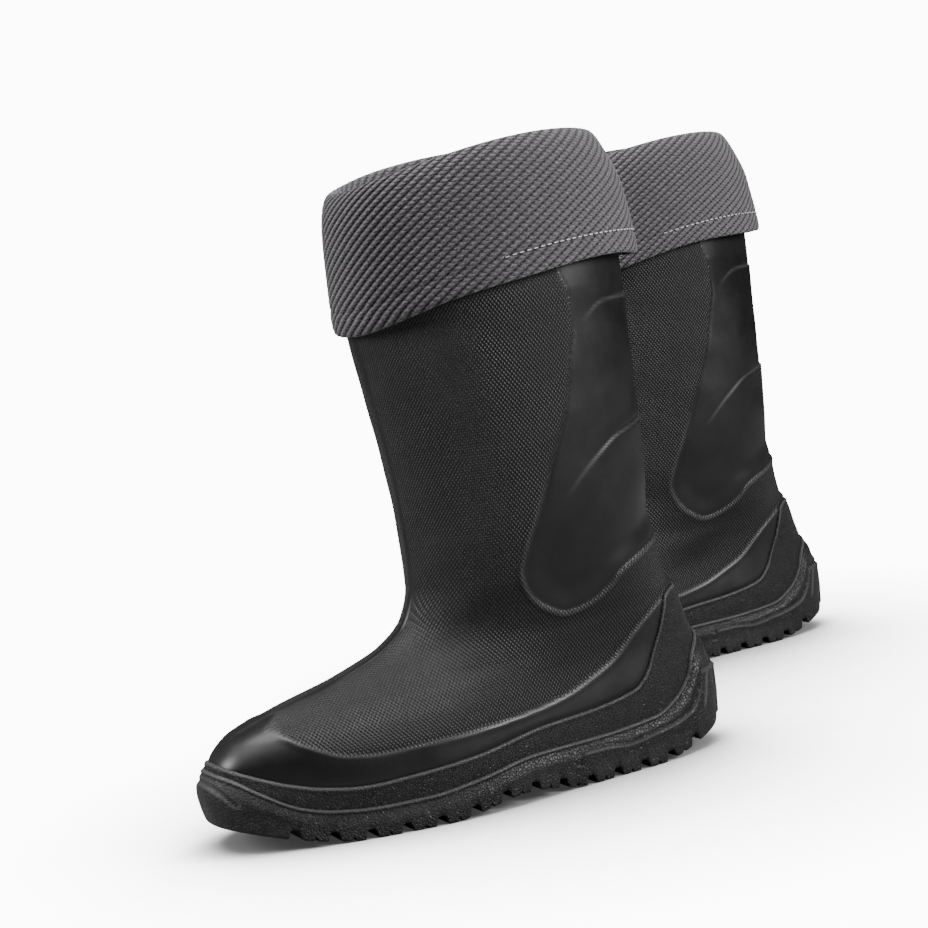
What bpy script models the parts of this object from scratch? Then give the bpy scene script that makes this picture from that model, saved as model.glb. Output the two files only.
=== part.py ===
"""A pair of tall moulded foam boots with pull-out liners and turned-down knitted cuffs.

Each boot is modelled about its own origin, on the floor under the middle of the foot, with the toe
towards -Y and the outer side of the left boot towards +X. The right boot is its mirror image.
Every wall follows one skin: the outside of the moulded upper, given by a height and by an angle that
starts at the back of the heel, passes the outer side and reaches the toe at half a turn.
"""
import math

import bmesh
import bpy
from mathutils import Matrix, Vector

MM = 0.001

# How the pair stands
STANCE = 250 * MM
STEP = 230 * MM

# Skin of the foot and the shaft
HEEL_Y = 145 * MM
FOOT_LENGTH = 293 * MM
BALL_WIDTH = 108 * MM
HEEL_WIDTH = 83 * MM
ANKLE_HEIGHT = 145 * MM
ANKLE_WIDTH = 119 * MM
ANKLE_DEPTH = 147 * MM
ANKLE_SET_IN = 19 * MM
CALF_HEIGHT = 270 * MM
CALF_WIDTH = 137 * MM
CALF_DEPTH = 161.5 * MM
CALF_SET_IN = 17.5 * MM
RIM_HEIGHT = 316 * MM
RIM_RISE = 11 * MM
RIM_ARCH = 9 * MM

# Heights in the foot: height, set-in at the heel, way from toe to ankle front, share of the half width
# at the ball, share of the half width at the heel, roundness and swing of the toe to the inner side
FOOT_ROWS = (
    (12 * MM, 2 * MM, 0.031, 0.98, 0.98, 0.74, 8 * MM),
    (30 * MM, 0 * MM, 0.000, 1.00, 1.00, 0.74, 8 * MM),
    (44 * MM, 0 * MM, 0.016, 0.98, 1.00, 0.75, 8 * MM),
    (56 * MM, 2 * MM, 0.094, 0.93, 0.99, 0.77, 8 * MM),
    (66 * MM, 4 * MM, 0.290, 0.86, 0.98, 0.80, 7 * MM),
    (76 * MM, 7 * MM, 0.590, 0.82, 0.99, 0.84, 6 * MM),
    (88 * MM, 10 * MM, 0.830, 0.83, 1.04, 0.88, 4 * MM),
    (102 * MM, 14.5 * MM, 0.950, 0.91, 1.16, 0.94, 2 * MM),
    (120 * MM, 18 * MM, 0.995, 1.02, 1.33, 1.00, 0 * MM),
)

# Underside, as lifts above the floor
TOE_SPRING = 15 * MM
SPRING_START = 0.78
SPRING_POWER = 1.6
ARCH_LIFT = 6 * MM
ARCH_PLACE = 0.48
ARCH_REACH = 0.16
HEEL_BEVEL = 12 * MM
BEVEL_END = 0.16
BEVEL_POWER = 1.3

# Top edges of the two sole bands: share of the way from heel to toe, and height
OUTSOLE_EDGE = (
    (0.00, 66 * MM), (0.045, 54 * MM), (0.08, 40 * MM), (0.11, 33 * MM), (0.16, 27 * MM), (0.30, 24.5 * MM),
    (0.44, 25 * MM), (0.56, 20 * MM), (0.66, 16.5 * MM), (0.75, 16 * MM), (0.83, 18 * MM), (0.88, 22 * MM),
    (0.94, 33 * MM), (0.975, 40 * MM), (1.00, 44 * MM),
)
MIDSOLE_EDGE = (
    (0.00, 94 * MM), (0.05, 94 * MM), (0.10, 91 * MM), (0.134, 69 * MM), (0.16, 53 * MM), (0.20, 44 * MM),
    (0.30, 39.5 * MM), (0.42, 38 * MM), (0.55, 32.5 * MM), (0.67, 29.5 * MM), (0.76, 28 * MM),
    (0.835, 30.5 * MM), (0.894, 35 * MM), (0.941, 40 * MM), (1.00, 47 * MM),
)

# Walls and floors
UPPER_WALL = 4 * MM
BAND_WALL = 2.6 * MM
LUG_DEPTH = 5 * MM
LUG_PITCH = 19.4 * MM
GROOVE_MOUTH = 8 * MM
GROOVE_ROOT = 4.4 * MM
GROOVE_FROM_HEEL = 24 * MM
GROOVE_FROM_TOE = 26 * MM
OUTSOLE_FLOOR = 14 * MM
MIDSOLE_THICKNESS = 3.7 * MM
FOOTBED_THICKNESS = 4 * MM
LINER_SOLE_THICKNESS = 4 * MM
LINER_WALL = 3.6 * MM
GAP = 0.3 * MM
NEST_GAP = 0.8 * MM

# Liner and cuff
LINER_SEAM = 128 * MM
SEAM_BELOW_RIM = 16 * MM
CUFF_DROP = 73 * MM
CUFF_WALL = 3.5 * MM
CUFF_LOOSE = 2.3 * MM
CUFF_CROWN = 29 * MM
STITCH_RISE = 11 * MM
THREAD_RADIUS = 0.5 * MM

BAND_REACH = 2 * (NEST_GAP + BAND_WALL)
CUFF_SEAM = RIM_HEIGHT - SEAM_BELOW_RIM

FACET_LENGTH = 18.3 * MM
SIDES = 2 * round(FOOT_LENGTH / FACET_LENGTH)
LEVELS = tuple(h * MM for h in (32, 45, 55, 63, 71, 80, 92, 108, 128, 160, 200, 240, 280))

# Surfaces as colour, roughness
FOAM_BLACK = ((0.012, 0.012, 0.013, 1), 0.42)
BAND_BLACK = ((0.010, 0.010, 0.011, 1), 0.60)
TREAD_BLACK = ((0.009, 0.009, 0.009, 1), 0.50)
INSOLE_GREY = ((0.045, 0.045, 0.048, 1), 0.90)
FELT_GREY = ((0.160, 0.155, 0.160, 1), 0.95)
KNIT_GREY = ((0.125, 0.118, 0.128, 1), 0.95)
THREAD_WHITE = ((0.750, 0.750, 0.740, 1), 0.80)


def smooth(x):
    x = min(1.0, max(0.0, x))
    return x * x * (3 - 2 * x)


def through(points, x):
    """Height at x of a curve through the points that never overshoots them."""
    if x <= points[0][0]:
        return points[0][1]
    if x >= points[-1][0]:
        return points[-1][1]
    i = max(k for k in range(len(points) - 1) if points[k][0] <= x)

    def chord(k):
        return (points[k + 1][1] - points[k][1]) / (points[k + 1][0] - points[k][0])

    def slope(k):
        before, after = chord(max(k - 1, 0)), chord(min(k, len(points) - 2))
        return 0.0 if before * after <= 0 else 2 * before * after / (before + after)

    span = points[i + 1][0] - points[i][0]
    t = (x - points[i][0]) / span
    rise = points[i + 1][1] - points[i][1]
    start, end = slope(i) * span, slope(i + 1) * span
    return points[i][1] + t * start + t * t * (3 * rise - 2 * start - end) + t ** 3 * (start + end - 2 * rise)


def skin_curves():
    """The seven values that describe the skin, each as a curve over the height."""
    ankle_front = HEEL_Y - ANKLE_SET_IN - ANKLE_DEPTH
    toe = HEEL_Y - FOOT_LENGTH
    rows = []
    for height, set_in, way, ball, heel, roundness, swing in FOOT_ROWS:
        front = toe + (ankle_front - toe) * way
        rows.append((height, HEEL_Y - set_in, front, heel * HEEL_WIDTH / 2, ball * BALL_WIDTH / 2, roundness, swing))
    rows.append((ANKLE_HEIGHT, HEEL_Y - ANKLE_SET_IN, ankle_front, ANKLE_WIDTH / 2, ANKLE_WIDTH / 2, 1.0, 0.0))
    calf_back = HEEL_Y - CALF_SET_IN
    rows.append((CALF_HEIGHT, calf_back, calf_back - CALF_DEPTH, CALF_WIDTH / 2, CALF_WIDTH / 2, 1.0, 0.0))
    return [[(row[0], row[k]) for row in rows] for k in range(1, 7)]


CURVES = skin_curves()


def station(angle):
    """Share of the way from heel to toe."""
    return (1 - math.cos(angle)) / 2


def skin(height, angle):
    """Point of the skin, without any offset."""
    back, front, heel, ball, roundness, swing = (through(curve, height) for curve in CURVES)
    s = station(angle)
    in_foot = smooth((120 * MM - height) / (60 * MM))
    inner = math.sin(angle) < 0
    half = heel + (ball - heel) * smooth((s - 0.22) / 0.42)
    half -= in_foot * (3.5 * MM if inner else 1.5 * MM) * math.exp(-(((s - 0.36) / 0.13) ** 2))
    half -= in_foot * (0.5 * MM if inner else 3.0 * MM) * smooth((s - 0.68) / 0.32)
    x = math.copysign(abs(math.sin(angle)) ** roundness * half, math.sin(angle))
    return Vector((x - swing * smooth((s - 0.4) / 0.6), back + (front - back) * s, height))


def spring(s):
    return TOE_SPRING * max(0.0, (s - SPRING_START) / (1 - SPRING_START)) ** SPRING_POWER


def tread_lift(s):
    """How far the underside stands off the floor."""
    arch = (s - ARCH_PLACE) / ARCH_REACH
    lift = ARCH_LIFT * math.cos(arch * math.pi / 2) ** 2 if abs(arch) < 1 else 0.0
    return spring(s) + lift + HEEL_BEVEL * max(0.0, (BEVEL_END - s) / BEVEL_END) ** BEVEL_POWER


def wall_point(level, angle, offset):
    """Point at a level: floors follow the toe spring and the rim follows its rise, with offset along the skin's normal."""
    s = station(angle)
    low = OUTSOLE_FLOOR
    rim = RIM_RISE * math.cos(angle) + RIM_ARCH * math.sin(angle) ** 2
    height = level + spring(s) * (1 - smooth((level - low) / (60 * MM - low)))
    height += rim * smooth((level - 0.75 * CALF_HEIGHT) / (0.25 * CALF_HEIGHT))
    return skin_offset(height, angle, offset)


def skin_offset(height, angle, offset):
    step = 0.02
    around = skin(height, angle + step) - skin(height, angle - step)
    upward = skin(height + 1 * MM, angle) - skin(height - 1 * MM, angle)
    return skin(height, angle) + around.cross(upward).normalized() * -offset


ANGLES = [2 * math.pi * i / SIDES for i in range(SIDES)]


def ring(level, offset):
    return [wall_point(level, angle, offset) for angle in ANGLES]


def rings_between(low, high, offset):
    """Rings on the shared levels, with one at each end."""
    inside = [level for level in LEVELS if low + 3 * MM < level < high - 3 * MM]
    return [ring(level, offset) for level in [low, *inside, high]]


def add_band(bm, lower, upper):
    """Triangles between two rings, with the diagonal always rising the same way."""
    count = len(lower)
    if lower[0].co.z > upper[0].co.z:
        lower, upper = upper, lower
    for i in range(count):
        j = (i + 1) % count
        bm.faces.new((lower[i], lower[j], upper[j]))
        bm.faces.new((lower[i], upper[j], upper[i]))


def add_floor(bm, verts):
    """Strips across the foot, from heel to toe."""
    count = len(verts)
    for i in range(count // 2):
        across = [verts[i], verts[i + 1], verts[count - i - 1], verts[(count - i) % count]]
        bm.faces.new(list(dict.fromkeys(across)))


def loft(name, rings, look, side, parent, closed=False):
    """A solid through the rings. A closed one joins its last ring to its first, others have a floor at both ends."""
    bm = bmesh.new()
    loops = [[bm.verts.new(point) for point in points] for points in rings]
    for lower, upper in zip(loops, loops[1:]):
        add_band(bm, lower, upper)
    if closed:
        add_band(bm, loops[-1], loops[0])
    else:
        add_floor(bm, loops[0])
        add_floor(bm, loops[-1])
    if side == "right":
        bmesh.ops.transform(bm, matrix=Matrix.Scale(-1, 4, (1, 0, 0)), verts=bm.verts)
    bmesh.ops.recalc_face_normals(bm, faces=bm.faces)
    mesh = bpy.data.meshes.new(f"{side}_{name}")
    bm.to_mesh(mesh)
    bm.free()
    mesh.shade_smooth()
    mesh.set_sharp_from_angle(angle=math.radians(50))
    mesh.materials.append(material(f"{side}_{name}", *look))
    obj = bpy.data.objects.new(f"{side}_{name}", mesh)
    obj.parent = parent
    bpy.context.scene.collection.objects.link(obj)
    return obj


def material(name, colour, roughness):
    surface = bpy.data.materials.new(name)
    surface.use_nodes = True
    shader = surface.node_tree.nodes["Principled BSDF"]
    shader.inputs["Base Color"].default_value = colour
    shader.inputs["Roughness"].default_value = roughness
    shader.inputs["Metallic"].default_value = 0.0
    return surface


def outsole_profile():
    """Angles of the groove edges along one side, each with the depth of the groove there."""
    back, front = HEEL_Y + BAND_REACH, HEEL_Y - FOOT_LENGTH - BAND_REACH
    corner = math.pi * 2 / SIDES
    places = [(station(k * corner), 0.0) for k in range(3)]
    count = int((back - front - GROOVE_FROM_HEEL - GROOVE_FROM_TOE) / LUG_PITCH) + 1
    for k in range(count):
        centre = GROOVE_FROM_HEEL + k * LUG_PITCH
        for away, depth in ((-GROOVE_MOUTH, 0), (-GROOVE_ROOT, LUG_DEPTH), (GROOVE_ROOT, LUG_DEPTH), (GROOVE_MOUTH, 0)):
            places.append(((centre + away / 2) / (back - front), depth))
    places += [(station(math.pi - k * corner), 0.0) for k in (3, 2, 1, 0)]
    one_side = [(math.acos(1 - 2 * s), depth) for s, depth in places]
    return one_side + [(2 * math.pi - angle, depth) for angle, depth in reversed(one_side[1:-1])]


def band_rings(floor, edge, offset, angles, steps):
    """Rings from a floor up to a band's top edge."""
    rings = []
    for share in range(steps + 1):
        points = []
        for angle in angles:
            s = station(angle)
            low = floor + spring(s)
            points.append(skin_offset(low + (through(edge, s) - low) * share / steps, angle, offset))
        rings.append(points)
    return rings


def make_outsole(side, parent):
    """A shallow tray with the lugs between grooves that run across its underside."""
    profile = outsole_profile()
    angles = [angle for angle, depth in profile]
    bottom = []
    for angle, depth in profile:
        point = skin_offset(OUTSOLE_FLOOR, angle, BAND_REACH)
        point.z = tread_lift(station(angle)) + depth
        bottom.append(point)
    outer = band_rings(OUTSOLE_FLOOR, OUTSOLE_EDGE, BAND_REACH, angles, 3)
    inner = band_rings(OUTSOLE_FLOOR, OUTSOLE_EDGE, BAND_REACH - BAND_WALL, angles, 3)
    return loft("outsole", [bottom] + outer[1:] + inner[::-1], TREAD_BLACK, side, parent)


def make_midsole(side, parent):
    bottom = OUTSOLE_FLOOR + GAP
    outer = band_rings(bottom, MIDSOLE_EDGE, NEST_GAP + BAND_WALL, ANGLES, 5)
    inner = band_rings(bottom + MIDSOLE_THICKNESS, MIDSOLE_EDGE, NEST_GAP, ANGLES, 5)
    return loft("midsole", outer + inner[::-1], BAND_BLACK, side, parent)


def make_upper(side, parent):
    bottom = OUTSOLE_FLOOR + MIDSOLE_THICKNESS + 2 * GAP
    outer = rings_between(bottom, RIM_HEIGHT, 0)
    inner = rings_between(bottom + UPPER_WALL, RIM_HEIGHT, -UPPER_WALL)
    return loft("upper", outer + inner[::-1], FOAM_BLACK, side, parent)


def upper_floor():
    return OUTSOLE_FLOOR + MIDSOLE_THICKNESS + 2 * GAP + UPPER_WALL


def make_slab(name, bottom, thickness, look, side, parent):
    reach = -UPPER_WALL - NEST_GAP
    return loft(name, [ring(bottom, reach), ring(bottom + thickness, reach)], look, side, parent)


def make_sock(name, low, high, side, parent):
    """A stretch of the liner: a wall that follows the inside of the upper, cut level at its ends."""
    outer = rings_between(low, high, -UPPER_WALL - NEST_GAP)
    inner = rings_between(low, high, -UPPER_WALL - NEST_GAP - LINER_WALL)
    for end in (0, -1):
        for outside, inside in zip(outer[end], inner[end]):
            inside.z = outside.z
    return loft(name, outer + inner[::-1], FELT_GREY, side, parent, closed=True)


def cuff_edge():
    """Level of the cuff's lower edge."""
    return RIM_HEIGHT + CUFF_CROWN - CUFF_DROP


def make_cuff(side, parent):
    """The turned-down cuff: from the liner's seam up over the rim and down outside."""
    crown = RIM_HEIGHT + CUFF_CROWN
    low = cuff_edge()
    inside = -UPPER_WALL - NEST_GAP
    outside = CUFF_LOOSE + CUFF_WALL
    profile = (
        (outside, low), (outside, low + 15 * MM), (outside - 0.5 * MM, low + 30 * MM),
        (outside - 1.2 * MM, crown - 27 * MM), (outside - 2.8 * MM, crown - 13 * MM),
        (outside - 6.3 * MM, crown - 3 * MM), (outside - 10.3 * MM, crown),
        (inside - LINER_WALL, crown - 6 * MM), (inside - LINER_WALL, CUFF_SEAM + GAP),
        (inside, CUFF_SEAM + GAP), (inside, crown - 9 * MM), (inside + 3.3 * MM, crown - 8 * MM),
        (CUFF_LOOSE - 1 * MM, RIM_HEIGHT), (CUFF_LOOSE, low + 20 * MM), (CUFF_LOOSE, low),
    )
    return loft("cuff", [ring(level, offset) for offset, level in profile], KNIT_GREY, side, parent, closed=True)


def make_stitch(side, parent):
    """The line of white running stitch, as one thread around the cuff."""
    centre = CUFF_LOOSE + CUFF_WALL + GAP + THREAD_RADIUS
    level = cuff_edge() + STITCH_RISE
    corners = [math.radians(90 * k) for k in range(4)]
    rings = [ring(level + THREAD_RADIUS * math.sin(a), centre + THREAD_RADIUS * math.cos(a)) for a in corners]
    return loft("hem_stitch", rings, THREAD_WHITE, side, parent, closed=True)


def add_frame(name, parent=None, location=(0, 0, 0)):
    frame = bpy.data.objects.new(name, None)
    frame.parent = parent
    frame.location = location
    bpy.context.scene.collection.objects.link(frame)
    return frame


def make_boot(side, location):
    boot = add_frame(f"{side}_boot", location=location)
    liner = add_frame(f"{side}_liner", boot)
    make_outsole(side, boot)
    make_midsole(side, boot)
    make_upper(side, boot)
    footbed_bottom = upper_floor() + GAP
    make_slab("footbed", footbed_bottom, FOOTBED_THICKNESS, INSOLE_GREY, side, boot)
    sole_bottom = footbed_bottom + FOOTBED_THICKNESS + GAP
    make_slab("liner_sole", sole_bottom, LINER_SOLE_THICKNESS, FELT_GREY, side, liner)
    make_sock("liner_foot", sole_bottom + LINER_SOLE_THICKNESS + GAP, LINER_SEAM, side, liner)
    make_sock("liner_leg", LINER_SEAM + GAP, CUFF_SEAM, side, liner)
    make_cuff(side, liner)
    make_stitch(side, liner)


def main():
    for obj in list(bpy.data.objects):
        bpy.data.objects.remove(obj, do_unlink=True)
    middle = FOOT_LENGTH / 2 - HEEL_Y
    make_boot("left", (STANCE / 2, middle - STEP / 2, 0))
    make_boot("right", (-STANCE / 2, middle + STEP / 2, 0))


main()
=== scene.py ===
"""A pair of black moulded foam boots with grey knitted cuffs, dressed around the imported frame."""

import math

import bpy
import numpy as np
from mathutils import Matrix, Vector


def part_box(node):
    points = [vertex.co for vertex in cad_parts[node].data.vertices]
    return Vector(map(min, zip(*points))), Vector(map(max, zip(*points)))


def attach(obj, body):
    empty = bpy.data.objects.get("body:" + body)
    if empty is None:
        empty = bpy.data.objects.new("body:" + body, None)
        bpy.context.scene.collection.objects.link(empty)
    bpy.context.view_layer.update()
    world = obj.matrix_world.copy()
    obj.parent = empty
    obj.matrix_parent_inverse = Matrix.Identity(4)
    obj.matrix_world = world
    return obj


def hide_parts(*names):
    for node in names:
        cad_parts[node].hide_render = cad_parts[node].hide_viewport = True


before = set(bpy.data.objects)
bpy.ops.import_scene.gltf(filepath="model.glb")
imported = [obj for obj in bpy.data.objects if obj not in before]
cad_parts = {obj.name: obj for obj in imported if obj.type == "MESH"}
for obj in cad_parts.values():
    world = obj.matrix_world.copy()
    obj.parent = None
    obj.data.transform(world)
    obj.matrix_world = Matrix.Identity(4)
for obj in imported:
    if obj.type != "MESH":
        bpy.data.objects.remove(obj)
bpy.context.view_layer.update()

MM = 0.001

# The skin of the moulded boot, as the frame has it
HEEL_Y = 145 * MM
FOOT_LENGTH = 293 * MM
BALL_WIDTH = 108 * MM
HEEL_WIDTH = 83 * MM
ANKLE_HEIGHT = 145 * MM
ANKLE_WIDTH = 119 * MM
ANKLE_DEPTH = 147 * MM
ANKLE_SET_IN = 19 * MM
CALF_HEIGHT = 270 * MM
CALF_WIDTH = 137 * MM
CALF_DEPTH = 161.5 * MM
CALF_SET_IN = 17.5 * MM
RIM_HEIGHT = 316 * MM
RIM_RISE = 11 * MM
RIM_ARCH = 9 * MM
TOE_SPRING = 15 * MM
SPRING_START = 0.78
SPRING_POWER = 1.6
ARCH_LIFT = 6 * MM
ARCH_PLACE = 0.48
ARCH_REACH = 0.16
HEEL_BEVEL = 12 * MM
BEVEL_END = 0.16
BEVEL_POWER = 1.3
OUTSOLE_FLOOR = 14 * MM
FOOT_ROWS = (
    (12 * MM, 2 * MM, 0.031, 0.98, 0.98, 0.74, 8 * MM),
    (30 * MM, 0 * MM, 0.000, 1.00, 1.00, 0.74, 8 * MM),
    (44 * MM, 0 * MM, 0.016, 0.98, 1.00, 0.75, 8 * MM),
    (56 * MM, 2 * MM, 0.094, 0.93, 0.99, 0.77, 8 * MM),
    (66 * MM, 4 * MM, 0.290, 0.86, 0.98, 0.80, 7 * MM),
    (76 * MM, 7 * MM, 0.590, 0.82, 0.99, 0.84, 6 * MM),
    (88 * MM, 10 * MM, 0.830, 0.83, 1.04, 0.88, 4 * MM),
    (102 * MM, 14.5 * MM, 0.950, 0.91, 1.16, 0.94, 2 * MM),
    (120 * MM, 18 * MM, 0.995, 1.02, 1.33, 1.00, 0 * MM),
)
OUTSOLE_EDGE = (
    (0.00, 66 * MM), (0.045, 54 * MM), (0.08, 40 * MM), (0.11, 33 * MM), (0.16, 27 * MM), (0.30, 24.5 * MM),
    (0.44, 25 * MM), (0.56, 20 * MM), (0.66, 16.5 * MM), (0.75, 16 * MM), (0.83, 18 * MM), (0.88, 22 * MM),
    (0.94, 33 * MM), (0.975, 40 * MM), (1.00, 44 * MM),
)
MIDSOLE_EDGE = (
    (0.00, 94 * MM), (0.05, 94 * MM), (0.10, 91 * MM), (0.134, 69 * MM), (0.16, 53 * MM), (0.20, 44 * MM),
    (0.30, 39.5 * MM), (0.42, 38 * MM), (0.55, 32.5 * MM), (0.67, 29.5 * MM), (0.76, 28 * MM),
    (0.835, 30.5 * MM), (0.894, 35 * MM), (0.941, 40 * MM), (1.00, 47 * MM),
)


# ---------- curves and fields ----------

def smooth(x):
    x = np.clip(x, 0.0, 1.0)
    return x * x * (3 - 2 * x)


def ridge(distance, width):
    """A rounded line, 1 along its middle."""
    return np.exp(-(distance / width) ** 2)


def through(points, x):
    """Value at x of a curve through the points that never overshoots them."""
    px, py = np.array(points, float).T
    chord = np.diff(py) / np.diff(px)
    before, after = chord[:-1], chord[1:]
    same = before * after > 0
    inside = np.where(same, 2 * before * after / np.where(same, before + after, 1), 0.0)
    slope = np.concatenate([chord[:1], inside, chord[-1:]])
    x = np.clip(x, px[0], px[-1])
    i = np.clip(np.searchsorted(px, x, side="right") - 1, 0, len(px) - 2)
    span = px[i + 1] - px[i]
    t = (x - px[i]) / span
    rise = py[i + 1] - py[i]
    start, end = slope[i] * span, slope[i + 1] * span
    return py[i] + t * start + t * t * (3 * rise - 2 * start - end) + t ** 3 * (start + end - 2 * rise)


def skin_curves():
    """Curves over the height: back, front, half widths at heel and ball, roundness and swing."""
    ankle_front = HEEL_Y - ANKLE_SET_IN - ANKLE_DEPTH
    toe = HEEL_Y - FOOT_LENGTH
    rows = []
    for height, set_in, way, ball, heel, roundness, swing in FOOT_ROWS:
        front = toe + (ankle_front - toe) * way
        half_heel, half_ball = heel * HEEL_WIDTH / 2, ball * BALL_WIDTH / 2
        rows.append((height, HEEL_Y - set_in, front, half_heel, half_ball, roundness, swing))
    half_ankle, half_calf = ANKLE_WIDTH / 2, CALF_WIDTH / 2
    rows.append((ANKLE_HEIGHT, HEEL_Y - ANKLE_SET_IN, ankle_front, half_ankle, half_ankle, 1.0, 0.0))
    calf_back = HEEL_Y - CALF_SET_IN
    rows.append((CALF_HEIGHT, calf_back, calf_back - CALF_DEPTH, half_calf, half_calf, 1.0, 0.0))
    return [[(row[0], row[k]) for row in rows] for k in range(1, 7)]


CURVES = skin_curves()


def station(angle):
    """Place along the foot, 0 at the heel's back and 1 at the toe."""
    return (1 - np.cos(angle)) / 2


def skin(height, angle):
    """Points of the boot's skin at heights and angles, about the boot's own origin."""
    height, angle = np.broadcast_arrays(height, angle)
    back, front, heel, ball, roundness, swing = (through(curve, height) for curve in CURVES)
    s = station(angle)
    in_foot = smooth((120 * MM - height) / (60 * MM))
    inner = np.sin(angle) < 0
    half = heel + (ball - heel) * smooth((s - 0.22) / 0.42)
    half = half - in_foot * np.where(inner, 3.5, 1.5) * MM * np.exp(-(((s - 0.36) / 0.13) ** 2))
    half = half - in_foot * np.where(inner, 0.5, 3.0) * MM * smooth((s - 0.68) / 0.32)
    x = np.sign(np.sin(angle)) * np.abs(np.sin(angle)) ** roundness * half
    return np.stack([x - swing * smooth((s - 0.4) / 0.6), back + (front - back) * s, height], axis=-1)


def skin_normal(height, angle):
    """Outward normals of the skin."""
    step = 0.02
    around = skin(height, angle + step) - skin(height, angle - step)
    upward = skin(height + 1 * MM, angle) - skin(height - 1 * MM, angle)
    normal = -np.cross(around, upward)
    return normal / np.linalg.norm(normal, axis=-1, keepdims=True)


def spring(s):
    return TOE_SPRING * np.clip((s - SPRING_START) / (1 - SPRING_START), 0, None) ** SPRING_POWER


def tread_lift(s):
    """Height of the tread's underside: the toe spring, the arch and the heel's bevel."""
    arch = np.clip((s - ARCH_PLACE) / ARCH_REACH, -1, 1)
    bevel = HEEL_BEVEL * np.clip((BEVEL_END - s) / BEVEL_END, 0, None) ** BEVEL_POWER
    return spring(s) + ARCH_LIFT * np.cos(arch * math.pi / 2) ** 2 + bevel


def wall_height(level, angle):
    """Height at a level: floors follow the toe spring, and the rim follows its rise."""
    s = station(angle)
    rim = RIM_RISE * np.cos(angle) + RIM_ARCH * np.sin(angle) ** 2
    lifted = level + spring(s) * (1 - smooth((level - OUTSOLE_FLOOR) / (60 * MM - OUTSOLE_FLOOR)))
    return lifted + rim * smooth((level - 0.75 * CALF_HEIGHT) / (0.25 * CALF_HEIGHT))


def side_of(side):
    return 1 if side == "left" else -1


def origin_of(side):
    """The boot's own origin, from where its outsole and upper stand in the frame."""
    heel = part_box(f"{side}_midsole")[1].y
    low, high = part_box(f"{side}_upper")
    return Vector(((low.x + high.x) / 2, heel - HEEL_Y - MIDSOLE_REACH, 0))


# Levels that the pieces share with the frame
HEM = RIM_HEIGHT - 44 * MM
CUFF_SEAM = RIM_HEIGHT - 16 * MM
LINER_SEAM = 128 * MM
SKIN_TO_LINER = -4.8 * MM
LINER_INSIDE = -8.4 * MM
UPPER_FLOOR = 18.3 * MM
FOOTBED_FLOOR = 22.6 * MM
LINER_FLOOR = 26.9 * MM
UPPER_WALL = 4 * MM
SOLE_LAYER = 4 * MM
MIDSOLE_INSIDE = 0.8 * MM
OUTSOLE_INSIDE = 2.6 * MM
MIDSOLE_REACH = 3.4 * MM

# Lines moulded into the upper, each from its front end, as places along the foot and heights
RAND_LINE = (
    (-106, 68), (-115, 62), (-109, 56), (-99, 50), (-86, 44.5), (-65, 42.5), (-42, 43.5), (-14, 45),
    (25, 48), (44, 51), (62, 57), (76, 63), (100, 81), (134, 101),
)
PANEL_LINE = (
    (57, 318), (57, 300), (60, 285), (67, 262), (67, 250), (64, 237), (56, 206), (47, 184), (35, 154),
    (27, 134), (24, 122), (28, 110), (39, 100), (49, 96), (61, 98), (75, 105), (83, 112), (105, 121),
    (134, 131),
)
UPPER_CREASE = ((73, 251), (91, 261), (108, 262), (140, 262))
LOWER_CREASE = ((50, 158), (70, 176), (91, 188), (129, 194), (140, 195))
HEEL_LINE = ((42, 9), (47, 18), (60, 18), (77, 16), (95, 18), (110, 20), (123, 24), (131, 33), (136, 44))

# The tread
LUG_PITCH = 19.4 * MM
LUG_DEPTH = 5 * MM
GROOVE_MOUTH = 8 * MM
GROOVE_ROOT = 4.4 * MM
GROOVE_FROM_HEEL = 24 * MM
GROOVE_FROM_TOE = 26 * MM
BAND_REACH = 6.8 * MM
SIPE_WIDTH = 2.4 * MM
SIPE_ROOT = 0.8 * MM
SIPE_DEPTH = 2.2 * MM
CHANNEL_DEPTH = 3 * MM
TREAD_SHARES = (0.02, 0.09, 0.105, 0.2, 0.33, 0.455, 0.475, 0.525, 0.545, 0.67, 0.8, 0.895, 0.91, 0.98)

# The knit
RIB_RISE = math.radians(28)
RIB_PITCH = 4.0 * MM
STITCH_LENGTH = 3.0 * MM
STITCH_SLANT = 1.3

# The running stitch along the cuff's hem: its rise above the hem in millimetres, and the width along a stitch
STITCH_RISE = 12.5
STITCH_PITCH = 4.1 * MM
STITCH_RUN = 2.5 * MM
THREAD_RADIUS = 0.36 * MM
STITCH_PROFILE = ((0, 0.25), (0.12, 0.8), (0.35, 1.0), (0.65, 1.0), (0.88, 0.8), (1, 0.25))


# ---------- meshes ----------

def build(name, side, points, faces, uv=None):
    """A mesh from points about the boot's own origin, mirrored for the right boot."""
    points = np.array(points, float)
    points[:, 0] *= side_of(side)
    points += np.array(origin_of(side))
    mesh = bpy.data.meshes.new(f"{side}_{name}")
    mesh.from_pydata(points.tolist(), [], faces.tolist() if isinstance(faces, np.ndarray) else faces)
    if uv is not None:
        layer = mesh.uv_layers.new(name="UVMap")
        layer.data.foreach_set("uv", np.array(uv, np.float32).ravel())
    if side == "right":
        mesh.flip_normals()
    mesh.shade_smooth()
    piece = bpy.data.objects.new(f"{side}_{name}_shaped", mesh)
    bpy.context.scene.collection.objects.link(piece)
    return piece


def arc_lengths(rings):
    """Distance along each ring from its first column, with the whole way round as the last value."""
    closed = np.concatenate([rings, rings[:, :1]], axis=1)
    along = np.linalg.norm(np.diff(closed, axis=1), axis=2)
    return np.concatenate([np.zeros((len(rings), 1)), np.cumsum(along, axis=1)], axis=1)


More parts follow.
